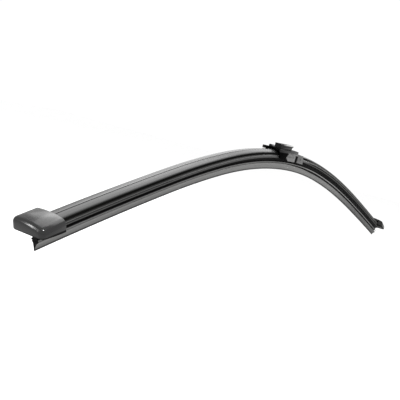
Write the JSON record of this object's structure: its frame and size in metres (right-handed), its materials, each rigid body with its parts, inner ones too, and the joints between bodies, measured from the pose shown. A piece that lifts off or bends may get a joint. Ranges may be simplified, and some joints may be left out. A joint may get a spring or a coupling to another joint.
{
  "type": "wiper blade",
  "caption": "Curved flat wiper blade with a rubber wiping element, spring strips, a two-part spoiler, end caps and a rocking arm adapter.",
  "frame": {"origin": "middle of the adapter rail's top face, where the wiper arm's clip seats", "axes": "+X along the blade towards its far end, +Y across it towards the rear, +Z away from the glass, so the wiping lip points down"},
  "size_m": [0.5035, 0.0192, 0.0759],
  "materials": {
    "wiping_rubber": "satin, graphite coated",
    "spring_steel": "black coated spring steel",
    "spoiler_plastic": "semi-matte extruded plastic",
    "cap_plastic": "satin moulded plastic",
    "connector_steel": "grey coated sheet steel",
    "pin_steel": "satin",
    "adapter_plastic": "satin moulded plastic"
  },
  "bodies": {
    "adapter": {"arm_adapter": "adapter_plastic"},
    "blade": {"wiping_element": "wiping_rubber", "front_spring_strip": "spring_steel", "rear_spring_strip": "spring_steel", "long_spoiler": "spoiler_plastic", "short_spoiler": "spoiler_plastic", "near_end_cap": "cap_plastic", "far_end_cap": "cap_plastic", "connector_base": "connector_steel", "cross_pin": "pin_steel"}
  },
  "joints": [
    {"name": "blade_rock", "type": "hinge", "parent": "adapter", "child": "blade", "pos_m": [0.0083, 0, -0.0056], "axis": [0, -1, 0], "range_deg": [0, 8]}
  ]
}
